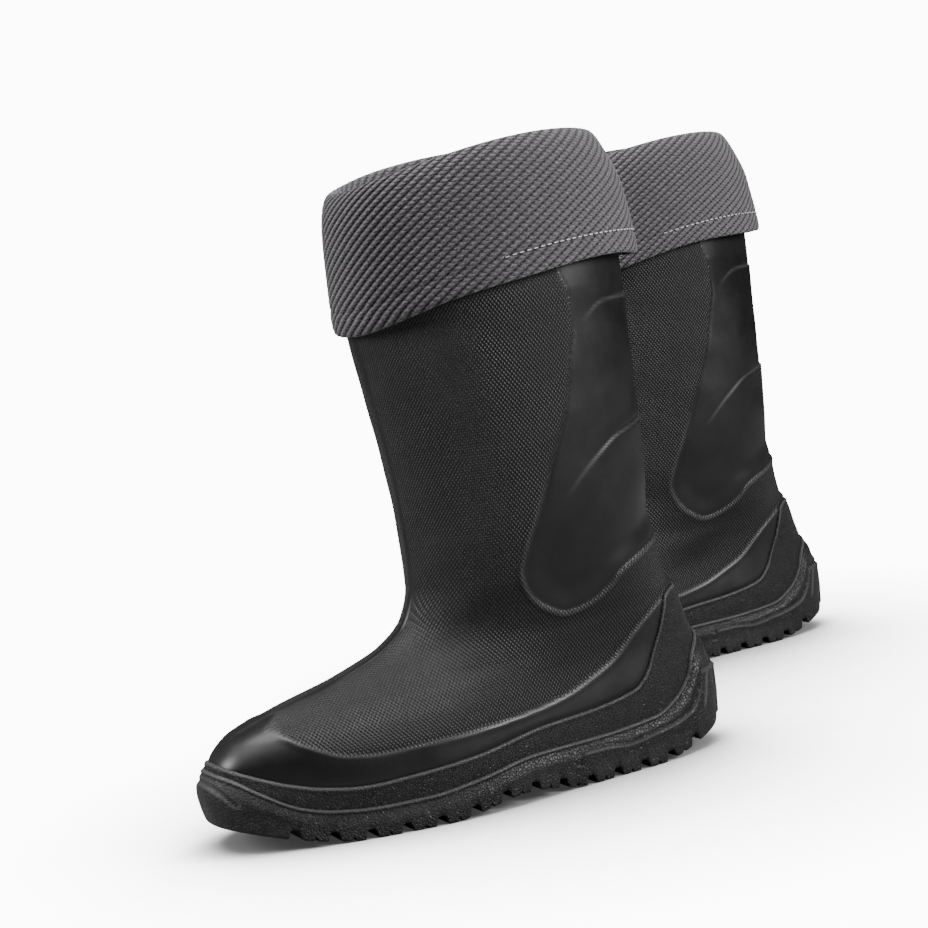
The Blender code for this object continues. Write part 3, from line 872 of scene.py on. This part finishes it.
def add_sleeves(side, surfaces):
    leg = loft("liner_leg", side, shape_sleeve(LINER_SEAM + 0.3 * MM, CUFF_SEAM, 46), closed=True)
    dress(leg, side, "liner_leg", "liner", surfaces["felt"])
    foot = loft("liner_foot", side, shape_sleeve(LINER_FLOOR + 4.3 * MM, LINER_SEAM, 40), closed=True)
    dress(foot, side, "liner_foot", "liner", surfaces["felt"])
    sole = loft("liner_sole", side, shape_slab(LINER_FLOOR, SOLE_LAYER))
    dress(sole, side, "liner_sole", "liner", surfaces["felt"])
    footbed = loft("footbed", side, shape_slab(FOOTBED_FLOOR, SOLE_LAYER))
    dress(footbed, side, "footbed", "boot", surfaces["insole"])


# ---------- materials ----------

def add_node(tree, kind, **settings):
    made = tree.nodes.new(kind)
    for name, value in settings.items():
        setattr(made, name, value)
    return made


def feed(tree, socket, value):
    """Links a socket to another node's output, or sets it to a number."""
    if isinstance(value, bpy.types.NodeSocket):
        tree.links.new(value, socket)
    else:
        socket.default_value = value


def calc(tree, operation, *values):
    made = add_node(tree, "ShaderNodeMath", operation=operation)
    for socket, value in zip(made.inputs, values):
        feed(tree, socket, value)
    return made.outputs[0]


def remap(tree, value, low, high, to_low=0.0, to_high=1.0):
    made = add_node(tree, "ShaderNodeMapRange", interpolation_type="SMOOTHSTEP")
    for socket, given in zip(made.inputs, (value, low, high, to_low, to_high)):
        feed(tree, socket, given)
    return made.outputs[0]


def noise(tree, vector, scale, detail=2.0, roughness=0.5):
    made = add_node(tree, "ShaderNodeTexNoise")
    feed(tree, made.inputs["Vector"], vector)
    feed(tree, made.inputs["Scale"], scale)
    feed(tree, made.inputs["Detail"], detail)
    feed(tree, made.inputs["Roughness"], roughness)
    return made.outputs["Fac"]


def blend_colour(tree, share, first, second):
    made = add_node(tree, "ShaderNodeMix", data_type="RGBA")
    feed(tree, made.inputs["Factor"], share)
    feed(tree, made.inputs["A"], first)
    feed(tree, made.inputs["B"], second)
    return made.outputs["Result"]


def grey(value, tint=(1, 1, 1)):
    return (value * tint[0], value * tint[1], value * tint[2], 1)


def new_group(name, inputs, outputs):
    """A shader node group with named float or vector sockets."""
    group = bpy.data.node_groups.new(name, "ShaderNodeTree")
    for label, default in inputs:
        kind = "NodeSocketVector" if default is None else "NodeSocketFloat"
        socket = group.interface.new_socket(label, in_out="INPUT", socket_type=kind)
        if default is not None:
            socket.default_value = default
    for label in outputs:
        group.interface.new_socket(label, in_out="OUTPUT", socket_type="NodeSocketFloat")
    return group, group.nodes.new("NodeGroupInput").outputs, group.nodes.new("NodeGroupOutput").inputs


def make_foam_skin_group():
    """The skin of moulded foam: a fine grain, sparse pimples, broad unevenness and settled dust."""
    group, given, result = new_group(
        "foam_skin", (("Place", None), ("Grain Size", 900.0), ("Pimples", 1.0)),
        ("Height", "Mottle", "Dust"))
    place = given["Place"]
    fine = noise(group, place, given["Grain Size"], 3.0, 0.6)
    broad = noise(group, place, 38.0, 3.0, 0.55)
    cells = add_node(group, "ShaderNodeTexVoronoi", feature="F1")
    feed(group, cells.inputs["Vector"], place)
    cells.inputs["Scale"].default_value = 150.0
    spot = remap(group, cells.outputs["Distance"], 0.16, 0.02)
    chosen = calc(group, "GREATER_THAN", noise(group, place, 60.0, 1.0), 0.56)
    pimple = calc(group, "MULTIPLY", calc(group, "MULTIPLY", spot, chosen), given["Pimples"])
    height = calc(group, "MULTIPLY_ADD", fine, 0.35, calc(group, "MULTIPLY", pimple, 0.9))
    feed(group, result["Height"], calc(group, "MULTIPLY_ADD", broad, 1.2, height))
    feed(group, result["Mottle"], broad)
    specks = noise(group, place, 1400.0, 2.0, 0.7)
    patches = noise(group, place, 25.0, 3.0, 0.6)
    dust = calc(group, "MULTIPLY", remap(group, specks, 0.60, 0.74), remap(group, patches, 0.35, 0.75))
    feed(group, result["Dust"], dust)
    return group


def make_grain_group():
    """Leather-like grain: cells parted by fine cracks, 0 in a crack and 1 on a cell."""
    group, given, result = new_group("leather_grain", (("Place", None), ("Cells", 600.0)), ("Cell",))
    cells = add_node(group, "ShaderNodeTexVoronoi", feature="DISTANCE_TO_EDGE")
    feed(group, cells.inputs["Vector"], given["Place"])
    feed(group, cells.inputs["Scale"], given["Cells"])
    feed(group, result["Cell"], remap(group, cells.outputs["Distance"], 0.0, 0.16))
    return group


def make_emboss_group():
    """A diamond field of small raised beads on a surface's own map, with a mask of the valleys between them for
    painted shade.
    """
    group, given, result = new_group("bead_emboss", (("Map", None), ("Pitch", 0.002)), ("Height", "Valley Shade"))
    apart = add_node(group, "ShaderNodeSeparateXYZ")
    feed(group, apart.inputs[0], given["Map"])
    turn = calc(group, "DIVIDE", math.pi, given["Pitch"])
    across = calc(group, "MULTIPLY", apart.outputs["X"], turn)
    along = calc(group, "MULTIPLY", apart.outputs["Y"], calc(group, "MULTIPLY", turn, 0.74))
    rising = calc(group, "SINE", calc(group, "ADD", across, along))
    falling = calc(group, "SINE", calc(group, "SUBTRACT", across, along))
    bead = calc(group, "ABSOLUTE", calc(group, "MULTIPLY", rising, falling))
    height = calc(group, "POWER", bead, 0.85)
    feed(group, result["Height"], height)
    # mask of the valleys between the beads, used for painted shade
    feed(group, result["Valley Shade"], remap(group, bead, 0.50, 0.08))
    return group


def make_rib_group():
    """Knitted ribs that climb around the cuff, each a row of slanted stitches, with masks for painted shade in
    the grooves and between the stitches.
    """
    group, given, result = new_group(
        "rib_knit", (("Map", None), ("Rise", RIB_RISE), ("Pitch", RIB_PITCH), ("Stitch", STITCH_LENGTH)),
        ("Height", "Groove Shade", "Stitch Gap Shade"))
    apart = add_node(group, "ShaderNodeSeparateXYZ")
    feed(group, apart.inputs[0], given["Map"])
    around, along = apart.outputs["X"], apart.outputs["Y"]
    cosine, sine = calc(group, "COSINE", given["Rise"]), calc(group, "SINE", given["Rise"])
    across = calc(group, "ADD", calc(group, "MULTIPLY", along, cosine), calc(group, "MULTIPLY", around, sine))
    across = calc(group, "DIVIDE", across, given["Pitch"])
    back = calc(group, "MULTIPLY", around, cosine)
    forward = calc(group, "SUBTRACT", calc(group, "MULTIPLY", along, sine), back)
    forward = calc(group, "DIVIDE", forward, given["Stitch"])
    row = calc(group, "FLOOR", across)
    within = calc(group, "SUBTRACT", across, row)
    stitch = calc(group, "MULTIPLY_ADD", row, 0.5, forward)
    stitch = calc(group, "MULTIPLY_ADD", within, STITCH_SLANT, stitch)
    bead = calc(group, "ABSOLUTE", calc(group, "SINE", calc(group, "MULTIPLY", stitch, math.pi)))
    arch = calc(group, "SINE", calc(group, "MULTIPLY", within, math.pi))
    lobe = calc(group, "MULTIPLY_ADD", calc(group, "POWER", bead, 0.5), 0.5, 0.5)
    crest = calc(group, "POWER", calc(group, "MAXIMUM", arch, 0.0), 0.7)
    feed(group, result["Height"], calc(group, "MULTIPLY", crest, lobe))
    # Painted shade: dark slits along the grooves between the ribs, and darker gaps between the stitches
    slit = calc(group, "MULTIPLY_ADD", remap(group, bead, 0.20, 0.75), 0.88, 0.12)
    feed(group, result["Groove Shade"], calc(group, "MULTIPLY", remap(group, arch, 0.86, 0.34), slit))
    feed(group, result["Stitch Gap Shade"], remap(group, bead, 0.36, 0.0))
    return group


def make_fibre_group():
    """Loose fibres and heather: short streaks in two directions, and a fuzz over them."""
    group, given, result = new_group(
        "heather_fibre", (("Place", None), ("Scale", 1.0)), ("Height", "Light", "Fuzz"))
    place = add_node(group, "ShaderNodeVectorMath", operation="SCALE")
    feed(group, place.inputs[0], given["Place"])
    feed(group, place.inputs["Scale"], given["Scale"])
    streaks = []
    for stretch in ((1900.0, 500.0, 700.0), (500.0, 700.0, 1900.0)):
        scaled = add_node(group, "ShaderNodeVectorMath", operation="MULTIPLY")
        feed(group, scaled.inputs[0], place.outputs[0])
        scaled.inputs[1].default_value = stretch
        streaks.append(noise(group, scaled.outputs[0], 1.0, 3.0, 0.65))
    fibre = calc(group, "MAXIMUM", *streaks)
    feed(group, result["Height"], fibre)
    feed(group, result["Light"], remap(group, fibre, 0.50, 0.78))
    feed(group, result["Fuzz"], noise(group, place.outputs[0], 260.0, 4.0, 0.7))
    return group


def make_weave_group():
    """A plain weave on a surface's own map."""
    group, given, result = new_group("plain_weave", (("Map", None), ("Thread", 0.0009)), ("Height",))
    apart = add_node(group, "ShaderNodeSeparateXYZ")
    feed(group, apart.inputs[0], given["Map"])
    turn = calc(group, "DIVIDE", math.pi, given["Thread"])
    across = calc(group, "SINE", calc(group, "MULTIPLY", apart.outputs["X"], turn))
    along = calc(group, "SINE", calc(group, "MULTIPLY", apart.outputs["Y"], turn))
    over = calc(group, "GREATER_THAN", calc(group, "MULTIPLY", across, along), 0.0)
    one = calc(group, "MULTIPLY", over, calc(group, "ABSOLUTE", across))
    other = calc(group, "MULTIPLY", calc(group, "SUBTRACT", 1.0, over), calc(group, "ABSOLUTE", along))
    feed(group, result["Height"], calc(group, "ADD", one, other))
    return group


GROUPS = {
    "skin": make_foam_skin_group(), "grain": make_grain_group(), "emboss": make_emboss_group(),
    "rib": make_rib_group(), "fibre": make_fibre_group(), "weave": make_weave_group(),
}
PALE_DUST = grey(0.20, (1, 0.97, 0.93))
FLOOR_DUST = grey(0.24, (1, 0.96, 0.90))
# Colour of the painted highlights along the bands' edges
PAINTED_EDGE_HIGHLIGHT = grey(0.085)


def place_group(tree, name, **values):
    made = add_node(tree, "ShaderNodeGroup", node_tree=GROUPS[name])
    for label, value in values.items():
        feed(tree, made.inputs[label.replace("_", " ")], value)
    return made.outputs


def start_material(name):
    surface = bpy.data.materials.new(name)
    surface.use_nodes = True
    tree = surface.node_tree
    coordinates = add_node(tree, "ShaderNodeTexCoord")
    return surface, tree, tree.nodes["Principled BSDF"].inputs, coordinates.outputs


def read_mask(tree, name):
    return add_node(tree, "ShaderNodeAttribute", attribute_name=name).outputs["Fac"]


def add_bump(tree, shader, height, distance):
    bump = add_node(tree, "ShaderNodeBump")
    feed(tree, bump.inputs["Height"], height)
    bump.inputs["Distance"].default_value = distance
    tree.links.new(bump.outputs["Normal"], shader["Normal"])


def make_boot_foam():
    """Satin black foam: beaded on the shaft and vamp, plain on the toe cap, rand and heel panel, with painted
    shade in the beads' valleys and painted highlights along the moulded lines.
    """
    surface, tree, shader, at = start_material("moulded_foam")
    skin_out = place_group(tree, "skin", Place=at["Object"], Grain_Size=1500.0, Pimples=1.0)
    beads = place_group(tree, "emboss", Map=at["UV"], Pitch=0.00215)
    emboss = read_mask(tree, "emboss")
    crease = read_mask(tree, "crease")
    valley_shade = calc(tree, "MULTIPLY", beads["Valley Shade"], emboss)
    mottle = remap(tree, skin_out["Mottle"], 0.3, 0.7)
    base = blend_colour(tree, mottle, grey(0.0040, (1, 1, 1.03)), grey(0.0062, (1, 1, 1.03)))
    base = blend_colour(tree, emboss, base, grey(0.010, (1, 1, 1.02)))
    # Painted shade: the valleys between the beads darkened nearly to black
    base = blend_colour(tree, valley_shade, base, grey(0.0005))
    # Painted highlight: lighter lines along the creases and moulded lines
    base = blend_colour(tree, calc(tree, "MULTIPLY", crease, 0.75), base, grey(0.045))
    base = blend_colour(tree, calc(tree, "MULTIPLY", skin_out["Dust"], 0.10), base, PALE_DUST)
    feed(tree, shader["Base Color"], base)
    rough = remap(tree, skin_out["Mottle"], 0.25, 0.75, 0.35, 0.46)
    feed(tree, shader["Roughness"], calc(tree, "MULTIPLY_ADD", emboss, 0.12, rough))
    shader["Specular IOR Level"].default_value = 0.42
    raised = calc(tree, "MULTIPLY", calc(tree, "MULTIPLY", beads["Height"], emboss), 5.0)
    add_bump(tree, shader, calc(tree, "MULTIPLY_ADD", skin_out["Height"], 0.55, raised), 0.00008)
    return surface


def make_band_foam():
    """Duller black foam with a leather-like grain and a painted highlight along its top edge."""
    surface, tree, shader, at = start_material("grained_foam")
    skin_out = place_group(tree, "skin", Place=at["Object"], Grain_Size=700.0, Pimples=0.3)
    grain = place_group(tree, "grain", Place=at["Object"], Cells=620.0)
    edge = read_mask(tree, "edge")
    base = blend_colour(tree, grain["Cell"], grey(0.003), grey(0.013, (1, 1, 1.02)))
    # Painted highlight along the band's rounded top edge
    base = blend_colour(tree, calc(tree, "MULTIPLY", edge, 0.8), base, PAINTED_EDGE_HIGHLIGHT)
    base = blend_colour(tree, calc(tree, "MULTIPLY", skin_out["Dust"], 0.16), base, PALE_DUST)
    feed(tree, shader["Base Color"], base)
    feed(tree, shader["Roughness"], remap(tree, skin_out["Mottle"], 0.25, 0.75, 0.46, 0.60))
    shader["Specular IOR Level"].default_value = 0.35
    add_bump(tree, shader, calc(tree, "MULTIPLY_ADD", grain["Cell"], 2.4, skin_out["Height"]), 0.00014)
    return surface


def make_tread_rubber():
    """Black tread, satin on its walls and a little dusty, with painted highlights along the moulded edges of
    its wall.
    """
    surface, tree, shader, at = start_material("tread")
    skin_out = place_group(tree, "skin", Place=at["Object"], Grain_Size=1100.0, Pimples=0.5)
    grain = place_group(tree, "grain", Place=at["Object"], Cells=560.0)
    edge = read_mask(tree, "edge")
    base = blend_colour(tree, remap(tree, skin_out["Mottle"], 0.3, 0.7), grey(0.007), grey(0.012))
    # Painted highlights along the outsole's top edge and moulded lines
    base = blend_colour(tree, calc(tree, "MULTIPLY", edge, 0.8), base, PAINTED_EDGE_HIGHLIGHT)
    apart = add_node(tree, "ShaderNodeSeparateXYZ")
    feed(tree, apart.inputs[0], at["Object"])
    low = remap(tree, apart.outputs["Z"], 0.012, 0.001)
    dusty = calc(tree, "MULTIPLY_ADD", low, 0.30, 0.10)
    base = blend_colour(tree, calc(tree, "MULTIPLY", skin_out["Dust"], dusty), base, FLOOR_DUST)
    feed(tree, shader["Base Color"], base)
    feed(tree, shader["Roughness"], remap(tree, skin_out["Mottle"], 0.25, 0.75, 0.42, 0.58))
    shader["Specular IOR Level"].default_value = 0.35
    add_bump(tree, shader, calc(tree, "MULTIPLY_ADD", grain["Cell"], 2.2, skin_out["Height"]), 0.00012)
    return surface


def make_knit():
    """Heather grey rib knit, with painted shade between the ribs and between the stitches."""
    surface, tree, shader, at = start_material("rib_knit")
    ribs = place_group(tree, "rib", Map=at["UV"])
    fibres = place_group(tree, "fibre", Place=at["Object"], Scale=1.0)
    dark, light = grey(0.090, (1.03, 0.95, 1.04)), grey(0.250, (1.02, 0.96, 1.03))
    base = blend_colour(tree, fibres["Light"], dark, light)
    # Painted shade between the stitches and, nearly black, in the grooves between the ribs
    stitch_gap_shade = calc(tree, "MULTIPLY", ribs["Stitch Gap Shade"], 0.60)
    base = blend_colour(tree, stitch_gap_shade, base, grey(0.030, (1, 0.95, 1)))
    base = blend_colour(tree, calc(tree, "MULTIPLY", ribs["Groove Shade"], 0.98), base, grey(0.005))
    feed(tree, shader["Base Color"], base)
    feed(tree, shader["Roughness"], remap(tree, fibres["Fuzz"], 0.3, 0.7, 0.86, 0.98))
    shader["Sheen Weight"].default_value = 0.25
    shader["Sheen Roughness"].default_value = 0.5
    shader["Specular IOR Level"].default_value = 0.2
    height = calc(tree, "MULTIPLY_ADD", fibres["Height"], 1.5, calc(tree, "MULTIPLY", ribs["Height"], 2.4))
    height = calc(tree, "MULTIPLY_ADD", fibres["Fuzz"], 0.7, height)
    add_bump(tree, shader, height, 0.00042)
    return surface


def make_felt():
    """Mid-grey needled fleece."""
    surface, tree, shader, at = start_material("felt")
    fibres = place_group(tree, "fibre", Place=at["Object"], Scale=0.7)
    base = blend_colour(tree, fibres["Light"], grey(0.13, (1.02, 0.98, 1.02)), grey(0.25, (1.01, 0.98, 1.01)))
    base = blend_colour(tree, remap(tree, fibres["Fuzz"], 0.3, 0.7), base, grey(0.17, (1.02, 0.98, 1.02)))
    feed(tree, shader["Base Color"], base)
    feed(tree, shader["Roughness"], remap(tree, fibres["Fuzz"], 0.3, 0.7, 0.88, 0.98))
    shader["Sheen Weight"].default_value = 0.3
    shader["Sheen Roughness"].default_value = 0.5
    shader["Specular IOR Level"].default_value = 0.2
    add_bump(tree, shader, calc(tree, "ADD", fibres["Height"], fibres["Fuzz"]), 0.0004)
    return surface


def make_thread():
    """White polyester thread, twisted."""
    surface, tree, shader, at = start_material("white_thread")
    fibres = place_group(tree, "fibre", Place=at["Object"], Scale=1.6)
    base = blend_colour(tree, fibres["Light"], grey(0.62), grey(0.80, (1, 1, 0.99)))
    feed(tree, shader["Base Color"], base)
    feed(tree, shader["Roughness"], remap(tree, fibres["Fuzz"], 0.3, 0.7, 0.55, 0.75))
    add_bump(tree, shader, fibres["Height"], 0.0001)
    return surface


def make_insole_cloth():
    """Dark grey woven cloth over foam."""
    surface, tree, shader, at = start_material("insole_cloth")
    weave = place_group(tree, "weave", Map=at["UV"], Thread=0.0009)
    fibres = place_group(tree, "fibre", Place=at["Object"], Scale=1.0)
    base = blend_colour(tree, weave["Height"], grey(0.02), grey(0.055, (1, 1, 1.04)))
    base = blend_colour(tree, calc(tree, "MULTIPLY", fibres["Light"], 0.4), base, grey(0.11))
    feed(tree, shader["Base Color"], base)
    feed(tree, shader["Roughness"], remap(tree, fibres["Fuzz"], 0.3, 0.7, 0.80, 0.95))
    add_bump(tree, shader, weave["Height"], 0.0002)
    return surface


# ---------- stage, lights and camera ----------

ROOM_LIGHT = 0.075
BACKDROP_WHITE = 12.0
SHADOW_REACH = 0.30
VIEW_AZIMUTH = math.radians(67)
VIEW_ELEVATION = math.radians(5)
VIEW_ROLL = math.radians(-8.3)
VIEW_DISTANCE = 1.265
AIM_HEIGHT = 0.190
SENSOR_WIDTH = 36
FOCAL_LENGTH = 89.2241


def add_floor():
    """A pale floor that runs out evenly into the studio's white, with a painted contact shadow around the boots
    in the glow that the camera sees.
    """
    bpy.ops.mesh.primitive_circle_add(vertices=96, radius=30, fill_type="NGON", location=(0, 0, 0))
    floor = bpy.context.active_object
    floor.name = "floor"
    surface, tree, shader, at = start_material("floor_paper")
    spread = add_node(tree, "ShaderNodeVectorMath", operation="LENGTH")
    feed(tree, spread.inputs[0], at["Object"])
    far = remap(tree, spread.outputs["Value"], 0.75, 2.6)
    paper = noise(tree, at["Object"], 9.0, 3.0)
    near_colour = blend_colour(tree, remap(tree, paper, 0.3, 0.7), grey(0.22), grey(0.24))
    feed(tree, shader["Base Color"], blend_colour(tree, far, near_colour, grey(0.0)))
    seen = add_node(tree, "ShaderNodeLightPath").outputs["Is Camera Ray"]
    # Painted contact shadow: the glow that the camera sees darkens near the boots by ambient occlusion
    painted_shadow_ao = add_node(tree, "ShaderNodeAmbientOcclusion", samples=12)
    painted_shadow_ao.inputs["Distance"].default_value = SHADOW_REACH
    clear_of_painted_shadow = calc(tree, "POWER", painted_shadow_ao.outputs["AO"], 5.0)
    glow_with_painted_shadow = blend_colour(tree, clear_of_painted_shadow, grey(0.004), grey(1.0))
    feed(tree, shader["Emission Color"], blend_colour(tree, seen, grey(0.0), glow_with_painted_shadow))
    feed(tree, shader["Roughness"], remap(tree, paper, 0.3, 0.7, 0.75, 0.85))
    shader["Specular IOR Level"].default_value = 0.0
    shader["Emission Strength"].default_value = BACKDROP_WHITE
    floor.data.materials.append(surface)


def add_light(name, location, target, size, power):
    bpy.ops.object.light_add(type="AREA", location=location)
    light = bpy.context.active_object
    light.name = name
    light.data.shape = "DISK"
    light.data.size = size
    light.data.energy = power
    light.rotation_euler = (Vector(target) - Vector(location)).to_track_quat("-Z", "Y").to_euler()


def add_camera():
    """A camera at the outer side of the left boot, a little in front, rolled so that the boots lean forward."""
    level = math.cos(VIEW_ELEVATION)
    away = Vector((math.sin(VIEW_AZIMUTH) * level, -math.cos(VIEW_AZIMUTH) * level, math.sin(VIEW_ELEVATION)))
    right = Vector((math.cos(VIEW_AZIMUTH), math.sin(VIEW_AZIMUTH), 0))
    up = away.cross(right)
    across = math.cos(VIEW_ROLL) * right + math.sin(VIEW_ROLL) * up
    upward = -math.sin(VIEW_ROLL) * right + math.cos(VIEW_ROLL) * up
    aim = origin_of("left") + Vector((0, 0, AIM_HEIGHT)) + across * 0.020 - upward * 0.005
    bpy.ops.object.camera_add()
    camera = bpy.context.active_object
    camera.name = "camera"
    matrix = camera.matrix_world.to_3x3()
    matrix.col[0], matrix.col[1], matrix.col[2] = across, upward, away
    camera.matrix_world = matrix.to_4x4()
    camera.location = aim + away * VIEW_DISTANCE
    camera.data.sensor_width = SENSOR_WIDTH
    camera.data.lens = FOCAL_LENGTH
    camera.data.clip_start = 0.01
    camera.data.clip_end = 80
    bpy.context.scene.camera = camera


def add_world():
    world = bpy.data.worlds.new("studio")
    world.use_nodes = True
    tree = world.node_tree
    seen = add_node(tree, "ShaderNodeLightPath").outputs["Is Camera Ray"]
    strength = calc(tree, "MULTIPLY_ADD", seen, BACKDROP_WHITE - ROOM_LIGHT, ROOM_LIGHT)
    tree.links.new(strength, tree.nodes["Background"].inputs["Strength"])
    tree.nodes["Background"].inputs["Color"].default_value = (1, 1, 1, 1)
    bpy.context.scene.world = world


# ---------- the pair ----------

def add_boot(side, shapes, surfaces):
    add_upper(side, *shapes["upper"], surfaces["foam"])
    rings, edge = shapes["midsole"]
    midsole = loft("midsole", side, rings)
    # the midsole's edge attribute marks its painted highlight
    add_attribute(midsole, "edge", edge)
    dress(midsole, side, "midsole", "boot", surfaces["band"])
    add_outsole(side, shapes["outsole"], surfaces["tread"])
    add_sleeves(side, surfaces)
    add_cuff(side, shape_cuff(side), surfaces["knit"])
    add_running_stitch(side, surfaces["thread"])


def main():
    surfaces = {
        "foam": make_boot_foam(), "band": make_band_foam(), "tread": make_tread_rubber(), "knit": make_knit(),
        "felt": make_felt(), "thread": make_thread(), "insole": make_insole_cloth(),
    }
    shapes = {"upper": shape_upper(), "midsole": shape_midsole(), "outsole": shape_outsole()}
    for side in ("left", "right"):
        add_boot(side, shapes, surfaces)
    add_floor()
    add_world()
    add_light("right_softbox", (1.65, 1.35, 1.15), (0.05, 0, 0.16), 1.2, 82)
    add_light("left_softbox", (-0.75, -2.1, 1.25), (0, 0, 0.16), 1.0, 46)
    add_light("top_softbox", (-0.1, -0.5, 2.3), (0.05, 0, 0.1), 2.0, 88)
    add_camera()


main()
